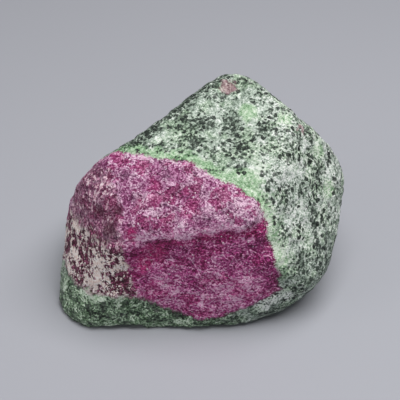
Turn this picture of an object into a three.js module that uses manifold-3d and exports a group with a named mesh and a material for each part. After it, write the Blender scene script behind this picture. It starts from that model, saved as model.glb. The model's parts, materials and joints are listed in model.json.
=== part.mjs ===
// Ruby in zoisite, one loose natural stone: a blocky, water-rounded lump of green zoisite rock
// with a ruby crystal grown into its front. The ruby and the zoisite are one piece of rock, so
// the stone is a single solid. Millimetres, +Z up, the ruby faces -Y, and the origin is the
// middle of the box's bottom, where the stone rests.
import * as THREE from "three";
import { ImprovedNoise } from "three/addons/math/ImprovedNoise.js";
import { mergeVertices } from "three/addons/utils/BufferGeometryUtils.js";
import Module from "manifold-3d";

const restHeight = 21; // from the resting face up to the heart, the point the facets are measured from
const edgeSharpness = 26; // higher gives crisper edges between facets
const meshDetail = 17; // subdivisions of the starting icosahedron
const wear = [
  { size: 15, height: 0.55 }, // broad waves left by tumbling in water
  { size: 6, height: 0.22 }, // smaller dimples between them
];

// The worn faces of the lump. turn goes round from the front (0) to the right (90), tilt is up
// from level, both in degrees, and reach is the distance of the face from the heart.
const facets = [
  { face: "ruby front, lower", turn: -1, tilt: 0, reach: 20.4 },
  { face: "ruby front, upper", turn: -11, tilt: 43, reach: 19.8 },
  { face: "top slope", turn: 6, tilt: 66, reach: 18 },
  { face: "speckled left", turn: -52, tilt: 11, reach: 25.9 },
  { face: "left shoulder", turn: -106, tilt: 24, reach: 22.9 },
  { face: "left side", turn: -90, tilt: 2, reach: 28.3 },
  { face: "back left slope", turn: -128, tilt: 38, reach: 16.6 },
  { face: "back right slope", turn: 122, tilt: 41, reach: 25.4 },
  { face: "right shoulder", turn: 102, tilt: 18, reach: 30.7 },
  { face: "right side", turn: 81, tilt: -8, reach: 30.5 },
  { face: "right front", turn: 50, tilt: 25, reach: 22.5 },
  { face: "right underside", turn: 62, tilt: -37, reach: 31.2 },
  { face: "front right, undercut", turn: 18, tilt: -14, reach: 25.6 },
  { face: "worn peak", turn: 180, tilt: 52, reach: 24.8 },
  { face: "back", turn: 178, tilt: 15, reach: 18 },
  { face: "back left, lower", turn: -144, tilt: -4, reach: 25 },
  { face: "back right, lower", turn: 140, tilt: -12, reach: 27 },
  { face: "resting face", turn: 0, tilt: -90, reach: restHeight + 0.6 },
];

// Places where the stone bulges past its facets or dips inside them: height is in millimetres
// at the middle, negative for a hollow, and spread is how wide it is in degrees.
const swells = [
  { place: "green foot, left corner", turn: -63, tilt: -33, height: 2.6, spread: 12 },
  { place: "ruby shoulder, top left", turn: -82, tilt: 26, height: 1.5, spread: 14 },
  { place: "dip between ruby shoulder and peak", turn: -98, tilt: 46, height: -0.8, spread: 12 },
];

function directionOf(turn, tilt) {
  const [a, e] = [turn, tilt].map(THREE.MathUtils.degToRad);
  return new THREE.Vector3(Math.sin(a) * Math.cos(e), -Math.cos(a) * Math.cos(e), Math.sin(e));
}

for (const item of [...facets, ...swells]) item.normal = directionOf(item.turn, item.tilt);

// Distance from the heart to the surface: the nearest facet along the direction, with the
// edges between facets rounded by a power mean, then the swells on top.
function reachAlong(direction) {
  let sum = 0;
  for (const facet of facets) {
    const lean = facet.normal.dot(direction);
    if (lean > 0) sum += (lean / facet.reach) ** edgeSharpness;
  }
  let reach = sum ** (-1 / edgeSharpness);
  for (const swell of swells) {
    const away = THREE.MathUtils.radToDeg(swell.normal.angleTo(direction)) / swell.spread;
    reach += swell.height * Math.exp(-away * away);
  }
  return reach;
}

function stoneGeometry() {
  const geometry = new THREE.IcosahedronGeometry(1, meshDetail);
  geometry.deleteAttribute("normal");
  geometry.deleteAttribute("uv");
  const position = geometry.attributes.position;
  const noise = new ImprovedNoise();
  const p = new THREE.Vector3();
  for (let i = 0; i < position.count; i++) {
    p.fromBufferAttribute(position, i).normalize();
    const direction = p.clone();
    p.multiplyScalar(reachAlong(direction));
    const waves = wear.reduce((sum, { size, height }, k) => {
      return sum + height * noise.noise(p.x / size + 7.3 * k, p.y / size, p.z / size);
    }, 0);
    p.addScaledVector(direction, waves);
    position.setXYZ(i, p.x, p.y, p.z + restHeight);
  }
  return geometry;
}

const wasm = await Module();
wasm.setup();

function toManifold(geometry) {
  const indexed = mergeVertices(geometry, 1e-5);
  return new wasm.Manifold(
    new wasm.Mesh({
      numProp: 3,
      vertProperties: new Float32Array(indexed.attributes.position.array),
      triVerts: new Uint32Array(indexed.index.array),
    }),
  );
}

function toGeometry(solid) {
  const mesh = solid.getMesh();
  const geometry = new THREE.BufferGeometry();
  geometry.setAttribute("position", new THREE.BufferAttribute(new Float32Array(mesh.vertProperties), 3));
  geometry.setIndex(new THREE.BufferAttribute(new Uint32Array(mesh.triVerts), 1));
  return geometry;
}

// The resting face is cut flat where the stone meets the table.
function restOnTable(geometry) {
  const table = new THREE.BoxGeometry(200, 200, 40);
  table.deleteAttribute("normal");
  table.deleteAttribute("uv");
  table.translate(0, 0, -20);
  return toGeometry(toManifold(geometry).subtract(toManifold(table)));
}

function centreOnBottom(geometry) {
  geometry.computeBoundingBox();
  const centre = geometry.boundingBox.getCenter(new THREE.Vector3());
  return geometry.translate(-centre.x, -centre.y, -geometry.boundingBox.min.z);
}

const stone = new THREE.Mesh(
  centreOnBottom(restOnTable(stoneGeometry())),
  new THREE.MeshStandardMaterial({ color: 0x8e9a8d, roughness: 0.6, metalness: 0 }),
);
stone.name = "stone";

const part = new THREE.Group();
part.add(stone);
export default part;
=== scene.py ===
import json
import math
import bpy
import numpy as np
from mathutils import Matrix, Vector

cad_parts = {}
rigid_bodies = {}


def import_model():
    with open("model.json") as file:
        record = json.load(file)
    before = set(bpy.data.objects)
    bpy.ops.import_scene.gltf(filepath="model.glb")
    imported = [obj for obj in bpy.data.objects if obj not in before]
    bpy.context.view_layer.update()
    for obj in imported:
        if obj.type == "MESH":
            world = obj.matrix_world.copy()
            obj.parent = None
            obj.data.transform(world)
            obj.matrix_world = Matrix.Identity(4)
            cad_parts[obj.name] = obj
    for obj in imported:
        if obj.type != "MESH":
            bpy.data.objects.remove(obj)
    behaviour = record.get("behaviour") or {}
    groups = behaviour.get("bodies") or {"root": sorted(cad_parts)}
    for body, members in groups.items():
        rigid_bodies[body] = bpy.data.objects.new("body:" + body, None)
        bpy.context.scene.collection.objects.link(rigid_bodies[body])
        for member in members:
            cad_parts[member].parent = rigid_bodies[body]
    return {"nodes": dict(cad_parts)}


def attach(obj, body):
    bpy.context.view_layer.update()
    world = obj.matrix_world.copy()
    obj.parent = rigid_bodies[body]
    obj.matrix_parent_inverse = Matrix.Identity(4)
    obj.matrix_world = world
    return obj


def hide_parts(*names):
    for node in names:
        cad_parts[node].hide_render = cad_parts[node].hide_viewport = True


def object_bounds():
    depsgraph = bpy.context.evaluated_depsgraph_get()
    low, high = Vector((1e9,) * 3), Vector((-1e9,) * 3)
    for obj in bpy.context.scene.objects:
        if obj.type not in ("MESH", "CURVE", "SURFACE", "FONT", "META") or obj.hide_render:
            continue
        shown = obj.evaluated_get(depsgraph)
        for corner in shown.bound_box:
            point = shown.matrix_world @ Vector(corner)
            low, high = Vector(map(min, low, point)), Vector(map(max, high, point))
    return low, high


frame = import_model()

cadBox = [list(corner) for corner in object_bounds()]
mm = 0.001


def tone(red, green, blue):
    # a colour given on a 0 to 255 scale, as the linear colour a shader wants
    return [((c / 255 + 0.055) / 1.055) ** 2.4 if c > 10 else c / 3295 for c in (red, green, blue)] + [1.0]


class Wire:
    # one socket of a material's node tree; arithmetic on it adds Math nodes
    def __init__(self, tree, socket=None):
        self.tree, self.socket = tree, socket

    def node(self, kind, settings=None, values=None, out=0):
        made = self.tree.nodes.new(kind)
        for name, value in (settings or {}).items():
            if name == "stops":
                ramp = made.color_ramp
                while len(ramp.elements) < len(value):
                    ramp.elements.new(0.5)
                for element, (place, colour) in zip(ramp.elements, value):
                    element.position, element.color = place, colour
            else:
                setattr(made, name, value)
        for name, value in (values or {}).items():
            if isinstance(value, Wire):
                self.tree.links.new(value.socket, made.inputs[name])
            else:
                made.inputs[name].default_value = value
        return Wire(self.tree, made.outputs[out] if made.outputs else None)

    def math(self, operation, *others):
        return self.node("ShaderNodeMath", {"operation": operation}, dict(enumerate((self,) + others)))

    def __add__(self, other):
        return self.math("ADD", other)

    __radd__ = __add__

    def __sub__(self, other):
        return self.math("SUBTRACT", other)

    def __rsub__(self, other):
        return self.node("ShaderNodeMath", {"operation": "SUBTRACT"}, {0: other, 1: self})

    def __mul__(self, other):
        return self.math("MULTIPLY", other)

    __rmul__ = __mul__

    def __truediv__(self, other):
        return self.math("DIVIDE", other)

    def __rtruediv__(self, other):
        return self.node("ShaderNodeMath", {"operation": "DIVIDE"}, {0: other, 1: self})

    def atLeast(self, other):
        return self.math("MAXIMUM", other)

    def fade(self, low, high):
        # 0 below low, 1 above high, smooth between
        values = {"Value": self, "From Min": low, "From Max": high}
        return self.node("ShaderNodeMapRange", {"interpolation_type": "SMOOTHSTEP"}, values)

    def line(self, inner, outer):
        # 1 where this is near 0, gone past outer on either side
        return 1 - self.math("ABSOLUTE").fade(inner, outer)

    def along(self, direction):
        # how far a point lies along a direction
        values = {0: self, 1: direction}
        return self.node("ShaderNodeVectorMath", {"operation": "DOT_PRODUCT"}, values, "Value")

    def farFrom(self, centre):
        values = {0: self, 1: centre}
        return self.node("ShaderNodeVectorMath", {"operation": "DISTANCE"}, values, "Value")

    def shifted(self, step):
        return self.node("ShaderNodeVectorMath", {"operation": "ADD"}, {0: self, 1: step})

    def scaled(self, factor):
        return self.node("ShaderNodeVectorMath", {"operation": "SCALE"}, {0: self, "Scale": factor})

    def split(self):
        parts = self.node("ShaderNodeSeparateXYZ", None, {0: self})
        return [Wire(self.tree, socket) for socket in parts.socket.node.outputs]

    def noise(self, size, detail=2.0, rough=0.5):
        values = {"Vector": self, "Scale": 1 / size, "Detail": detail, "Roughness": rough}
        return self.node("ShaderNodeTexNoise", None, values, "Fac")

    def ripple(self, reach, *noise):
        # noise as a push either way, up to about a quarter of reach
        return (self.noise(*noise) - 0.5) * reach

    def wobbled(self, size, reach):
        # the same place pushed about by noise, so that patterns lose their straight edges
        values = {"Vector": self, "Scale": 1 / size, "Detail": 2.0}
        drift = self.node("ShaderNodeTexNoise", None, values, "Color")
        return self.shifted(drift.shifted((-0.5, -0.5, -0.5)).scaled(reach))

    def grains(self, size):
        # crystal grains: three random numbers for each grain
        cells = self.node("ShaderNodeTexVoronoi", None, {"Vector": self, "Scale": 1 / size}, "Color")
        return cells.split()

    def dots(self, size):
        # distance from the middle of the nearest dot, in dot spacings, and a random number for it
        cells = self.node("ShaderNodeTexVoronoi", None, {"Vector": self, "Scale": 1 / size}, "Distance")
        return cells, Wire(self.tree, cells.socket.node.outputs["Color"]).split()[0]

    def flattened(self, direction, times):
        # squeezes patterns along a direction, so grains and clusters lie in sheets across it
        push = self.along(direction) * (times - 1)
        lean = self.node("ShaderNodeVectorMath", {"operation": "SCALE"}, {0: direction, "Scale": push})
        return self.shifted(lean)

    def blend(self, under, over):
        # colour over laid on colour under where this mask is 1
        return self.node("ShaderNodeMix", {"data_type": "RGBA"}, {0: self, 6: under, 7: over}, 2)

    def ramp(self, *stops):
        return self.node("ShaderNodeValToRGB", {"stops": stops}, {"Fac": self})


# the stone's shape
stoneShape = {
    "mesh": 0.36 * mm,  # spacing of the even mesh
    "waves": [  # texture, size and height in millimetres
        ("CLOUDS", 6.0, 0.9),
        ("CLOUDS", 2.6, 0.55),
        ("VORONOI", 2.4, 0.35),
        ("CLOUDS", 1.1, 0.3),
    ],
    "waveMiddle": 0.6,  # texture value that leaves the surface where it is
    "underCut": {"height": 1.6, "depth": 0.9},  # the lower edge rounds in under the stone
    "hollow": 0.4, "rise": 0.3,  # the ruby is crimson in its hollows and pale on its rises
    "chips": {  # small hollows and bumps scattered over the front
        "count": 60, "seed": 5, "above": 8.0,
        "radius": (0.7, 1.7), "depth": (-0.16, 0.34),
    },
    "dents": [  # place, radius and depth in millimetres, negative depth stands proud
        ((-18.6, -17.5, 27.0), 3.0, 0.9),
        ((-17.2, -20.0, 24.0), 1.8, 0.5),
        ((-15.6, -19.0, 29.0), 1.6, 0.5),
        ((-7.0, -22.0, 21.0), 4.0, 0.5),
        ((3.0, -22.0, 22.5), 4.0, 0.5),
        ((10.5, -21.5, 23.0), 3.0, 0.5),
        ((-4.5, -18.5, 30.5), 2.2, 0.35),
        ((4.0, -18.5, 31.0), 2.4, 0.3),
        ((-11.0, -21.3, 26.0), 2.0, -0.35),
        ((-3.0, -21.6, 26.6), 2.6, -0.3),
        ((14.6, -20.6, 21.0), 2.0, 0.5),
        ((16.0, -20.4, 14.0), 2.2, 0.4),
        ((13.0, -20.4, 28.6), 2.0, 0.4),
        ((9.5, -15.0, 34.0), 3.2, 0.5),
        ((18.0, -15.0, 26.0), 2.0, 0.35),
        ((20.5, -2.0, 38.0), 3.0, 0.5),
        ((-24.0, -15.0, 16.0), 2.6, 0.4),
    ],
}


def carveStone(shape, look):
    source = frame["nodes"]["stone"]
    bpy.ops.object.select_all(action="DESELECT")
    source.select_set(True)
    bpy.context.view_layer.objects.active = source
    bpy.ops.object.duplicate()
    stone = bpy.context.active_object
    bpy.ops.object.parent_clear(type="CLEAR_KEEP_TRANSFORM")
    for key in list(stone.keys()):
        del stone[key]
    stone.name = stone.data.name = "rubyZoisiteStone"
    bpy.ops.object.mode_set(mode="EDIT")
    bpy.ops.mesh.select_all(action="SELECT")
    bpy.ops.mesh.remove_doubles(threshold=0.01 * mm)
    bpy.ops.object.mode_set(mode="OBJECT")
    smooth = stone.modifiers.new("roundFacets", "SUBSURF")
    smooth.levels = smooth.render_levels = 1
    bpy.ops.object.modifier_apply(modifier=smooth.name)
    remesh = stone.modifiers.new("evenMesh", "REMESH")
    remesh.mode = "VOXEL"
    remesh.voxel_size = shape["mesh"]
    bpy.ops.object.modifier_apply(modifier=remesh.name)
    for kind, size, height in shape["waves"]:
        texture = bpy.data.textures.new("wear" + kind.title(), kind)
        texture.noise_scale = size * mm
        if kind == "CLOUDS":
            texture.noise_depth = 2
        wear = stone.modifiers.new("wear", "DISPLACE")
        wear.texture = texture
        wear.texture_coords = "LOCAL"
        wear.strength = height * mm
        wear.mid_level = shape["waveMiddle"]
        bpy.ops.object.modifier_apply(modifier=wear.name)
    mesh = stone.data
    count = len(mesh.vertices)
    place, normal = np.empty(count * 3), np.empty(count * 3)
    mesh.vertices.foreach_get("co", place)
    mesh.vertices.foreach_get("normal", normal)
    place, normal = place.reshape(-1, 3), normal.reshape(-1, 3)
    chips = shape["chips"]
    dice = np.random.default_rng(chips["seed"])
    front = place[(normal[:, 1] < -0.5) & (place[:, 2] > chips["above"] * mm)] / mm
    middles = front[dice.integers(len(front), size=chips["count"])]
    sizes = dice.uniform(*chips["radius"], chips["count"])
    depths = dice.uniform(*chips["depth"], chips["count"])
    dents = shape["dents"] + list(zip(middles, sizes, depths))
    dents += [(centre, radius, shape["hollow"]) for centre, radius in look["crimsonSpots"]]
    dents += [(centre, radius, -shape["rise"]) for centre, radius in look["paleSpots"]]
    for centre, radius, depth in dents:
        away = np.linalg.norm(place / mm - np.array(centre), axis=1) / radius
        place -= normal * (depth * mm * np.exp(-away ** 2))[:, None]
    under = shape["underCut"]
    lowness = np.clip(1 - place[:, 2] / (under["height"] * mm), 0, 1)
    outward = normal * (normal[:, 2] > -0.9)[:, None] * np.array([1, 1, 0])  # the bottom stays
    place -= outward * (under["depth"] * mm * lowness ** 2)[:, None]
    place = np.clip(place, *np.array(cadBox))
    mesh.vertices.foreach_set("co", place.ravel())
    mesh.update()
    bpy.ops.object.shade_smooth()
    print("stone carved:", sum(len(face.vertices) - 2 for face in mesh.polygons), "triangles")
    return stone


# the ruby and zoisite finish
bedding = (0.37, -0.72, 0.59)  # the rock's sheets lie across this direction
shadedBackLeft = ((-0.62, 0.48, 0.62), 29.1)  # the way the back left slope faces, and its distance; that slope carries painted shade
zoisiteLook = {
    # colours from the darkest grains to the palest
    "grey": [(0.0, tone(44, 54, 47)), (0.3, tone(106, 121, 107)), (0.5, tone(152, 168, 153)),
             (0.7, tone(194, 208, 194)), (1.0, tone(244, 248, 242))],
    "green": [(0.0, tone(40, 54, 43)), (0.3, tone(100, 121, 99)), (0.5, tone(148, 172, 145)),
              (0.7, tone(188, 208, 183)), (1.0, tone(236, 245, 231))],
    "mint": [(0.0, tone(58, 94, 58)), (0.3, tone(118, 158, 114)), (0.5, tone(156, 194, 150)),
             (0.7, tone(192, 218, 184)), (1.0, tone(236, 246, 228))],
    "foot": [(0.0, tone(10, 18, 12)), (0.3, tone(58, 80, 56)), (0.5, tone(102, 134, 98)),
             (0.7, tone(156, 186, 150)), (1.0, tone(228, 242, 222))],
    "hornblende": [(0.0, tone(12, 18, 15)), (0.75, tone(36, 46, 40)), (1.0, tone(92, 106, 94))],
    "pink": [(0.1, tone(120, 82, 92)), (0.5, tone(190, 150, 156)), (0.95, tone(234, 212, 214))],
    # places as (x, y, z) and radius, in millimetres
    "darkStreaks": [((0.8, -2.7, 39.9), 2.6), ((-2.6, -0.1, 41.3), 2.2), ((7.7, -9.1, 36.9), 2.6),
                    ((9.6, -7.9, 37.2), 2.2), ((14.7, -5.7, 38.0), 2.6), ((15.2, -15.3, 29.8), 1.8),
                    ((22.7, -10.5, 24.4), 2.0), ((24.4, -6.9, 26.5), 2.0), ((25.5, -14.1, 13.1), 3.0),
                    ((23.5, -14.5, 17.0), 2.6), ((-2.1, -11.4, 36.5), 2.6), ((3.0, -12.4, 35.8), 2.6),
                    ((-7.0, -9.5, 37.6), 2.4), ((20.4, -6.6, 33.1), 2.2), ((23.1, -12.2, 20.9), 2.0)],
    "palePatches": [((13.4, -19.2, 27.6), 3.4), ((15.0, -20.0, 22.5), 2.6), ((17.5, -13.0, 31.0), 2.6),
                    ((20.5, -14.5, 22.0), 2.4), ((11.0, -13.0, 34.8), 2.6), ((6.0, 3.0, 43.0), 2.4)],
    "clearPatches": [((14.8, -20.3, 23.5), 3.0), ((17.2, -20.0, 18.8), 2.0),
                     ((12.5, -19.5, 28.0), 3.6), ((10.0, -15.0, 33.2), 3.6), ((2.0, 1.0, 42.3), 3.4),
                     ((7.5, 0.0, 41.6), 3.4), ((18.0, -9.5, 31.5), 3.0)],
    "mintPatches": [((9.5, -14.8, 34.2), 3.4), ((7.0, -14.5, 34.6), 3.0), ((12.4, -18.4, 29.9), 2.6),
                    ((13.4, -19.4, 26.8), 2.6), ((14.5, -20.5, 22.6), 2.4), ((16.7, -20.7, 18.3), 2.0),
                    ((9.4, -0.5, 40.5), 2.6), ((16.8, -1.6, 39.8), 2.0), ((24.2, -2.3, 32.5), 2.2),
                    ((26.5, -5.6, 24.7), 2.4)],
    "pinkSpots": [((5.5, 5.0, 43.2), 2.3), ((20.5, -2.2, 38.0), 1.6)],
    "bigGrain": [((17.4, -15.4, 26.8), 1.1)],
    "bigGrainTone": tone(12, 34, 18),
    "cornerPatches": [((12.6, -21.0, 6.8), 2.8), ((15.0, -20.7, 8.6), 3.2), ((17.6, -19.3, 7.8), 2.0)],
    "footSpots": [((-26.0, -18.6, 6.5), 1.4), ((-23.4, -20.3, 6.2), 1.2),
                  ((-27.8, -15.8, 9.5), 1.2), ((-4.0, -21.7, 5.2), 2.0), ((-9.5, -21.6, 6.6), 1.6)],
    "footPatches": [((-24.0, -19.5, 8.2), 3.2), ((-20.4, -21.0, 10.0), 3.2), ((-17.0, -21.5, 9.0), 2.2),
                    ((-28.6, -14.5, 6.5), 2.0), ((10.1, -21.3, 5.2), 1.8), ((-22.5, -20.5, 9.5), 2.4)],
}
rubyLook = {
    "cuts": [  # planes that bound the crystal: the way each faces, and its distance from the origin
        ((0.20, 0.85, 0.49), 7.3),
        ((0.507, 0.746, 0.429), 5.8),
        ((0.97, 0.0, 0.24), 18.6),
        ((0.455, 0.0, -0.89), -2.0),
        ((0.0, 0.0, -1.0), -4.0),
        ((-0.47, 0.0, -0.88), -2.2),
        ((-0.35, 0.9, 0.25), 14.5),
    ],
    "paleRidgeAndHighlight": {"slope": 0.16, "height": 26.9},  # pale ridge across the front, rising to the right; partly its own pale colour, partly painted highlight
    "body": [(0.0, tone(68, 6, 46)), (0.3, tone(128, 46, 98)), (0.5, tone(166, 94, 140)),
             (0.7, tone(206, 144, 182)), (1.0, tone(248, 208, 232))],
    "mauve": [(0.0, tone(62, 16, 50)), (0.3, tone(114, 64, 98)), (0.5, tone(154, 108, 138)),
              (0.7, tone(194, 152, 178)), (1.0, tone(244, 208, 228))],
    "crimson": [(0.0, tone(86, 0, 42)), (0.5, tone(188, 28, 114)), (1.0, tone(236, 146, 190))],
    "deep": [(0.0, tone(78, 0, 44)), (0.3, tone(136, 28, 94)), (0.5, tone(174, 62, 130)),
             (0.7, tone(214, 110, 172)), (1.0, tone(248, 196, 226))],
    "crimsonSpots": [((-12.2, -17.3, 31.1), 1.6), ((-2.0, -19.4, 30.7), 2.6), ((-8.9, -15.5, 33.6), 2.2),
                     ((-13.4, -20.9, 26.0), 2.2), ((-9.0, -21.9, 21.5), 3.4), ((-11.1, -21.7, 18.7), 2.8),
                     ((-11.3, -12.1, 36.1), 1.8), ((-6.5, -20.4, 28.8), 2.2), ((1.2, -22.0, 25.4), 2.2),
                     ((4.8, -22.0, 25.6), 1.8), ((9.4, -21.8, 26.6), 2.2), ((4.8, -16.0, 33.9), 1.4),
                     ((-3.1, -16.5, 33.1), 2.0), ((13.6, -21.0, 22.5), 1.8)],
    "clearRed": [((-9.4, -21.8, 20.8), 3.0), ((-11.4, -21.6, 18.4), 2.2), ((-13.4, -20.9, 25.6), 1.4),
                 ((-12.2, -17.3, 31.1), 1.0), ((1.2, -22.0, 25.0), 1.4)],
    # painted shade in the hollows by the ruby's left edge
    "hollowShadeSpots": [((-16.3, -18.1, 29.2), 1.5), ((-18.3, -19.2, 25.6), 2.4), ((-20.5, -16.5, 27.5), 2.0)],
    "hollowShadeTone": tone(70, 18, 42),
    "glintTone": tone(250, 236, 244),
    "paleSpots": [((-14.6, -21.6, 23.0), 1.6), ((-10.3, -17.0, 32.0), 1.4), ((-9.5, -19.5, 29.6), 1.8),
                  ((-4.1, -20.8, 28.4), 1.8), ((0.8, -19.6, 30.6), 2.0), ((8.4, -20.0, 30.6), 3.0),
                  ((5.6, -18.6, 32.3), 2.4), ((7.0, -22.0, 12.0), 5.0)],
}
leftLook = {  # the speckled face to the left of the ruby
    "cuts": [((0.96, 0.10, 0.15), -13.6), ((-0.05, 0.0, -1.0), -8.8),
             ((-0.2, 0.95, 0.2), 2.0), ((0.2, 0.3, 0.93), 24.5)],
    "maroon": [(0.0, tone(16, 2, 8)), (0.5, tone(90, 26, 52)), (1.0, tone(200, 116, 154))],
    "cream": [(0.0, tone(196, 164, 152)), (0.5, tone(252, 230, 222)), (1.0, tone(255, 250, 246))],
    "creamSpots": [((-25.6, -12.4, 20.4), 2.4), ((-20.0, -20.0, 15.6), 4.0), ((-17.4, -21.1, 22.6), 1.4),
                   ((-18.3, -20.9, 17.6), 2.6), ((-23.6, -18.4, 11.4), 2.0), ((-26.6, -13.5, 14.0), 2.0)],
    "pink": [(0.0, tone(182, 118, 146)), (0.5, tone(238, 186, 204)), (1.0, tone(255, 236, 242))],
}
surfaceLook = {
    "grain": 0.27,  # width of the smallest grains, in millimetres
    "jointTone": tone(46, 34, 38),  # the line where ruby meets rock, low down
    "relief": 0.3 * mm,  # height of the grains and pits
    "roughness": 0.7, "polish": 0.35,  # the smoothest grains are less rough by polish
    "refraction": 1.62, "shine": 0.25,
}


def outsideCuts(place, cuts):
    # how far outside the bounding planes a place is; below 0 is inside
    worst = None
    for direction, distance in cuts:
        past = place.along(Vector(direction).normalized()) - distance
        worst = past if worst is None else worst.atLeast(past)
    return worst


def spots(place, centres):
    # 1 inside any of the round spots, fading to 0 at their edges
    found = None
    for centre, radius in centres:
        near = 1 - place.farFrom(centre).fade(radius * 0.45, radius)
        found = near if found is None else found.atLeast(near)
    return found


def specks(crowd, chosen, away, inner, outer):
    # dots whose own number is under the crowding there, fading from inner to outer
    return (crowd - chosen).fade(-0.02, 0.02) * (1 - away.fade(inner, outer))


def finishStone(stone):
    material = bpy.data.materials.new("rubyInZoisite")
    material.use_nodes = True
    tree = material.node_tree
    tree.nodes.clear()
    start = Wire(tree)
    place = start.node("ShaderNodeTexCoord", None, None, "Object").scaled(1 / mm)
    x, y, z = place.split()
    loose = place.wobbled(1.6, 1.2)
    sheets = place.flattened(bedding, 1.5)
    grit, gritToo, glint = place.wobbled(0.4, 0.15).grains(surfaceLook["grain"])
    fine = (grit - 0.5) * 0.46 + place.ripple(0.9, 0.6, 2.0, 0.6)

    # the ruby crystal's border, and the pale green rim along it
    border = outsideCuts(place, rubyLook["cuts"])
    border = border + place.ripple(3.6, 5.0, 4.0, 0.6) + place.ripple(0.6, 2.0, 2.0)
    behind = y.fade(-12.0, -4.0)
    border = border + fine * 1.1 + (place.noise(5.5, 3.0, 0.6) - 0.5) * behind * 9
    ruby = (0 - border).fade(-0.4, 0.4)
    rimWidth = (place.ripple(6.0, 2.4, 3.0, 0.7) + 2.3) * (x.fade(-15.0, -3.0) * 0.5 + 0.5)
    rim = (1 - (border / rimWidth).fade(0.5, 1.3)) * z.fade(12.0, 18.0)
    rim = rim.atLeast(spots(place.wobbled(2.4, 3.5), zoisiteLook["mintPatches"]) * 0.85)

    # black hornblende, in large and small specks gathered in streaks along the bedding
    streaks = place.flattened(bedding, 3.0).noise(5.0, 2.0).fade(0.40, 0.62)
    # painted shade on the back left slope: more dark specks there, and a darker, less green ground
    backSlopeShade = (place.along(shadedBackLeft[0]) - shadedBackLeft[1]).fade(-2.2, -0.6)
    crowd = streaks * 0.65 + 0.1 + backSlopeShade * 0.5 + spots(loose, zoisiteLook["darkStreaks"]) * 0.4
    crowd = crowd - spots(loose, zoisiteLook["clearPatches"]) * 0.45 - rim * 0.5
    ragged = place.ripple(0.5, 0.45, 2.0, 0.6)
    away, chosen = sheets.wobbled(0.7, 0.6).dots(1.2)
    away = away + ragged
    speck = specks(crowd, chosen, away, 0.40, 0.48)
    away, chosen = sheets.wobbled(0.5, 0.4).shifted((9, 9, 9)).dots(0.65)
    away = away + ragged
    dark = speck.atLeast(specks(crowd * 0.9, chosen, away, 0.38, 0.48) * 0.85)
    shade = (crowd * 0.8 - chosen).fade(-0.1, 0.1) * (1 - away.fade(0.3, 0.9))

    # zoisite ground: pale grains, greener in patches, whiter in others, with painted light on the right
    # face and painted shade low on the right and on the back left slope
    ground = fine + sheets.ripple(0.9, 1.6, 3.0, 0.65) + place.ripple(0.5, 4.5, 1.0)
    # whiter patches, and painted light that makes the right face a little whiter
    whiterAndLitRight = sheets.shifted((5, 5, 5)).noise(1.5, 3.0, 0.65) + x.fade(10.0, 18.0) * 0.05
    # painted shade: the ground darker low on the right, under the overhang
    lowRightShade = (1 - z.fade(6.0, 20.0)) * x.fade(8.0, 16.0)
    ground = ground + whiterAndLitRight.fade(0.58, 0.62) * 0.2
    # painted light: the right face paler and more varied, paler still higher up
    ground = ground + x.fade(10.0, 16.0) * (fine * 0.4 + z.fade(14.0, 22.0) * 0.12)
    ground = ground + spots(place.wobbled(1.6, 2.2), zoisiteLook["palePatches"]) * 0.14
    corner = spots(place.wobbled(2.0, 2.5), zoisiteLook["cornerPatches"])
    ground = ground + corner * (fine * 1.6 + 0.5) - lowRightShade * 0.16 - backSlopeShade * (0.14 - fine * 0.6)
    ground = ground - crowd * 0.12 - shade * 0.2 + 0.61
    greener = (loose.noise(4.2, 2.0) + rim * 0.3).fade(0.46, 0.6) * (1 - backSlopeShade * 0.8) * 0.8
    zoisite = greener.blend(ground.ramp(*zoisiteLook["grey"]), ground.ramp(*zoisiteLook["green"]))
    mintTone = ground * 0.85 + loose.noise(1.5, 2.0) * 0.7 + x.fade(10.0, 14.0) * 0.09 - 0.35
    zoisite = (rim * 0.9).blend(zoisite, mintTone.ramp(*zoisiteLook["mint"]))
    hornblende = gritToo.ramp(*zoisiteLook["hornblende"])
    zoisite = (dark * (place.noise(2.0).fade(0.3, 0.55) * 0.3 + 0.68)).blend(zoisite, hornblende)
    bigGrain = spots(place.wobbled(0.8, 0.5), zoisiteLook["bigGrain"])
    zoisite = bigGrain.blend(zoisite, zoisiteLook["bigGrainTone"])
    stain = spots(place.wobbled(1.5, 3.2), zoisiteLook["pinkSpots"]) * 0.75
    zoisite = stain.blend(zoisite, ground.ramp(*zoisiteLook["pink"]))

    # green foot under the ruby, darker, its streaks lying level
    foot = (1 - (z + place.ripple(5, 3.0)).fade(10.0, 14.0)) * (1 - y.fade(-16.0, -8.0))
    foot = foot * (1 - x.fade(3.0, 10.0)) * (1 - corner)
    upright = place.wobbled(1.0, 1.2).flattened((0.0, 0.0, 1.0), 0.6)
    level = place.wobbled(3.0, 2.4).flattened((0.12, 0.0, 1.0), 1.6)
    footGround = fine * 1.5 + level.ripple(2.2, 2.6, 3.0, 0.65) + 0.44
    away, chosen = level.wobbled(0.7, 0.6).dots(1.1)
    footSpeck = specks(level.noise(4.0).fade(0.4, 0.6) * 0.7, chosen, away, 0.3, 0.46)
    footGround = footGround + spots(place.wobbled(1.6, 2.4), zoisiteLook["footPatches"]) * 0.5
    footGround = footGround - footSpeck * 0.45 - spots(loose, zoisiteLook["footSpots"]) * 0.5
    zoisite = (foot * 0.85).blend(zoisite, footGround.ramp(*zoisiteLook["foot"]))
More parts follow.
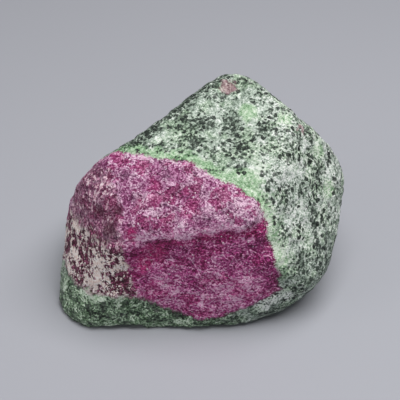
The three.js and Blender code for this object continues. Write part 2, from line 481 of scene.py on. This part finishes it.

    # the ruby: pale threads round darker grains, a pale front ridge that is partly painted highlight,
    # crimson and dark in spots
    blotches = place.wobbled(1.6, 2.0).shifted((20, 0, 0)).noise(3.2, 3.0, 0.55)
    threads = (blotches - 0.5).line(0.008, 0.04)
    threadsToo = (loose.shifted((0, 30, 0)).noise(1.6, 2.0) - 0.5).line(0.01, 0.05)
    threads = threads.atLeast(threadsToo * place.shifted((0, 9, 0)).noise(2.4).fade(0.46, 0.56) * 0.8)
    slant = z - x * rubyLook["paleRidgeAndHighlight"]["slope"]
    crest = slant - rubyLook["paleRidgeAndHighlight"]["height"] + place.ripple(2.6, 2.6) + place.ripple(1.4, 0.8)
    # painted highlight in part: the ridge's rounded crest is paler along its length
    paleRidgeAndHighlight = crest.line(0.2, 1.5) * (1 - x.fade(5.0, 10.0)) * x.fade(-14.0, -10.0)
    paleRidgeAndHighlight = paleRidgeAndHighlight * (place.noise(1.8).fade(0.3, 0.6) * 0.6 + 0.4)
    overhung = (crest + 2.2).line(0.4, 1.6) * x.fade(-13.0, -9.0)
    lower = 1 - (slant + place.ripple(2, 1.5)).fade(25.0, 26.6)
    crimson = (blotches.fade(0.51, 0.57) * 0.34).atLeast(overhung * 0.6)
    patchy = spots(place.wobbled(1.8, 4.0), rubyLook["crimsonSpots"])
    patchy = patchy * place.noise(1.3, 3.0, 0.6).fade(0.26, 0.46)
    crimson = crimson.atLeast(patchy * (lower * 0.5 + 0.45)) * (1 - threads * 0.6)
    fibres = place.wobbled(2.4, 2.6).flattened((0.1, -0.3, 0.95), 2.0).noise(0.75, 3.0, 0.65)
    hairs = (place.wobbled(1.4, 1.6).noise(0.95, 3.0, 0.6) - 0.5).line(0.0, 0.045)
    rubyFine = (grit - 0.5) * 0.62 + (fibres - 0.5) * 0.6 + hairs * 0.2 - 0.06
    pale = loose.ripple(0.45, 1.3, 3.0, 0.65) + loose.ripple(0.45, 4.5, 2.0)
    pale = pale * (lower * 0.6 + 1) + rubyFine
    # painted shade in the recess along the ruby's lower right border
    rightEdgeShade = (border + 1.4).line(0.6, 2.2) * x.fade(8.0, 14.0) * lower
    pale = pale + threads * 0.34 - crimson * 0.12 + paleRidgeAndHighlight * 0.46
    pale = pale + spots(loose, rubyLook["paleSpots"]) * 0.2 + 0.45
    hem = (border + 0.6).line(0.2, 0.9)
    pale = pale + hem * z.fade(18.0, 26.0) * 0.2 - rightEdgeShade * 0.16
    wavy = place.wobbled(3.0, 2.6).flattened((0.1, 0.0, 1.0), 2.0).noise(2.2, 2.0)
    wavy = (wavy - 0.5).math("ABSOLUTE")
    # pale wavy lines low on the ruby: partly pale colour, partly painted highlight on the ripple crests
    pale = pale + (1 - wavy.fade(0.0, 0.04)) * lower * (1 - z.fade(12.0, 19.0)) * 0.34
    pale = pale + rubyFine * lower * 0.1 + lower * (0.04 - slant.fade(16.0, 25.0) * 0.1)
    body = lower.blend(pale.ramp(*rubyLook["body"]), pale.ramp(*rubyLook["deep"]))
    mauve = loose.shifted((0, 0, 40)).noise(3.0, 2.0) + x.fade(0.0, 12.0) * 0.05
    mauve = mauve.fade(0.47, 0.6) * (1 - lower) * 0.7 * (1 - paleRidgeAndHighlight)
    body = mauve.blend(body, pale.ramp(*rubyLook["mauve"]))
    rubyColour = crimson.blend(body, pale.ramp(*rubyLook["crimson"]))
    glow = spots(loose, rubyLook["clearRed"]) * (1 - threads * 0.6) * 0.85
    rubyColour = glow.blend(rubyColour, (rubyFine * 0.8 + 0.46).ramp(*rubyLook["crimson"]))
    rubyColour = (paleRidgeAndHighlight * 0.55).blend(rubyColour, (rubyFine * 1.2 + 0.85).ramp(*rubyLook["deep"]))
    rubyColour = (glint.fade(0.994, 0.996) * 0.8).blend(rubyColour, rubyLook["glintTone"])

    # ragged cream patches low on the left face, thin pinkish flecks higher up
    left = outsideCuts(place.wobbled(5.0, 5.0), leftLook["cuts"]) + place.ripple(4.0, 1.8, 4.0, 0.7)
    left = left + (place.noise(4.0, 3.0, 0.6) - 0.5) * behind * 14
    left = (0 - left).fade(-0.8, 0.7)
    lowDown = 1 - (z + place.ripple(6, 2.5)).fade(20.5, 23.5)
    cream = upright.noise(1.2, 4.0, 0.72) + spots(loose, leftLook["creamSpots"]) * 0.06
    cream = (cream + place.ripple(0.15, 5.0) + (grit - 0.5) * 0.05).fade(0.515, 0.525)
    flecks = place.wobbled(1.2, 0.5).flattened((0.0, 0.0, 1.0), 0.4).noise(0.7, 3.0, 0.7)
    flecks = (flecks + place.ripple(0.3, 2.5)).fade(0.56, 0.575)
    gritTone = grit * 0.9 + 0.2
    maroon = (fine * 1.3 + upright.ripple(0.8, 0.8) + 0.47).ramp(*leftLook["maroon"])
    upper = 1 - (1 - lowDown) * 0.4
    upper = (flecks * 0.9).blend(upper.blend(rubyColour, maroon), gritTone.ramp(*leftLook["pink"]))
    under = (cream * 0.95).blend(maroon, gritTone.ramp(*leftLook["cream"]))
    rubyColour = left.blend(rubyColour, lowDown.blend(upper, under))
    # painted shade: dark spots in the hollows by the ruby's left edge
    hollowShadeSpots = spots(loose, rubyLook["hollowShadeSpots"]) * 0.75
    rubyColour = hollowShadeSpots.blend(rubyColour, rubyLook["hollowShadeTone"])
    ruby = ruby.atLeast(left)

    colour = ruby.blend(zoisite, rubyColour)
    joint = border.line(0.1, 0.6) * (1 - z.fade(10.0, 20.0)) * (1 - left)
    colour = (joint * 0.4).blend(colour, surfaceLook["jointTone"])

    # surface: grains stand a little proud or sunk, polish varies from grain to grain
    height = grit * 0.4 + place.noise(0.6, 3.0, 0.65) * 1.1 + loose.noise(1.9, 3.0) * 2.2
    height = height - dark * (1 - ruby) * 0.4
    height = height + ruby * (1 - left) * (threads * 0.4 - crimson * 0.6 - wavy.fade(0.0, 0.14) * lower)
    relief = {"Height": height, "Distance": surfaceLook["relief"], "Strength": 1.0}
    shader = start.node("ShaderNodeBsdfPrincipled", None, {
        "Base Color": colour,
        "Roughness": surfaceLook["roughness"] - glint.fade(0.7, 1.0) * surfaceLook["polish"],
        "Normal": start.node("ShaderNodeBump", None, relief),
        "IOR": surfaceLook["refraction"],
        "Specular IOR Level": surfaceLook["shine"],
    })
    start.node("ShaderNodeOutputMaterial", None, {"Surface": shader})
    stone.data.materials.clear()
    stone.data.materials.append(material)
    print("stone finished:", len(tree.nodes), "nodes")


# the surroundings
studio = {
    "floor": {"size": 1.6, "place": (0, 0.35, 0), "colour": tone(176, 177, 184), "roughness": 0.85,
              "shine": 0.1},
    "skyStrength": 0.17,
    "skyColour": tone(250, 252, 255),
    "lamps": {
        "overheadSoftbox": {"size": 0.32, "place": (0.09, -0.05, 0.42), "watts": 1.86},
        "leftFill": {"size": 0.2, "place": (-0.32, -0.14, 0.12), "watts": 0.22},
    },
    "camera": {"elevation": 38.0, "distance": 0.248, "lens": 100.0, "aim": (-0.0002, 0.00862, 0.01103)},
}


def setStudio(look):
    bpy.ops.object.select_all(action="DESELECT")
    ground = look["floor"]
    bpy.ops.mesh.primitive_plane_add(size=ground["size"], location=ground["place"])
    floor = bpy.context.active_object
    floor.name = "paleFloor"
    material = bpy.data.materials.new("paleFloorPaper")
    material.use_nodes = True
    paper = material.node_tree.nodes["Principled BSDF"]
    paper.inputs["Base Color"].default_value = ground["colour"]
    paper.inputs["Roughness"].default_value = ground["roughness"]
    paper.inputs["Specular IOR Level"].default_value = ground["shine"]
    floor.data.materials.append(material)

    world = bpy.data.worlds.new("softRoom")
    world.use_nodes = True
    background = world.node_tree.nodes["Background"]
    background.inputs["Color"].default_value = look["skyColour"]
    background.inputs["Strength"].default_value = look["skyStrength"]
    bpy.context.scene.world = world

    for name, box in look["lamps"].items():
        towards = Vector(box["place"])
        turn = towards.to_track_quat("Z", "Y").to_euler()
        bpy.ops.object.light_add(type="AREA", location=towards, rotation=turn)
        lamp = bpy.context.active_object
        lamp.name = name
        lamp.data.shape = "SQUARE"
        lamp.data.size = box["size"]
        lamp.data.energy = box["watts"]

    view = look["camera"]
    elevation = math.radians(view["elevation"])
    aim = Vector(view["aim"])
    back = Vector((0, -math.cos(elevation), math.sin(elevation)))
    turn = (math.pi / 2 - elevation, 0, 0)
    bpy.ops.object.camera_add(location=aim + back * view["distance"], rotation=turn)
    camera = bpy.context.active_object
    camera.data.lens = view["lens"]
    camera.data.clip_start = 0.01
    bpy.context.scene.camera = camera
    bpy.context.scene.view_settings.view_transform = "Standard"
    print("studio set")


stone = carveStone(stoneShape, rubyLook)
finishStone(stone)
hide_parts("stone")
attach(stone, "root")
setStudio(studio)
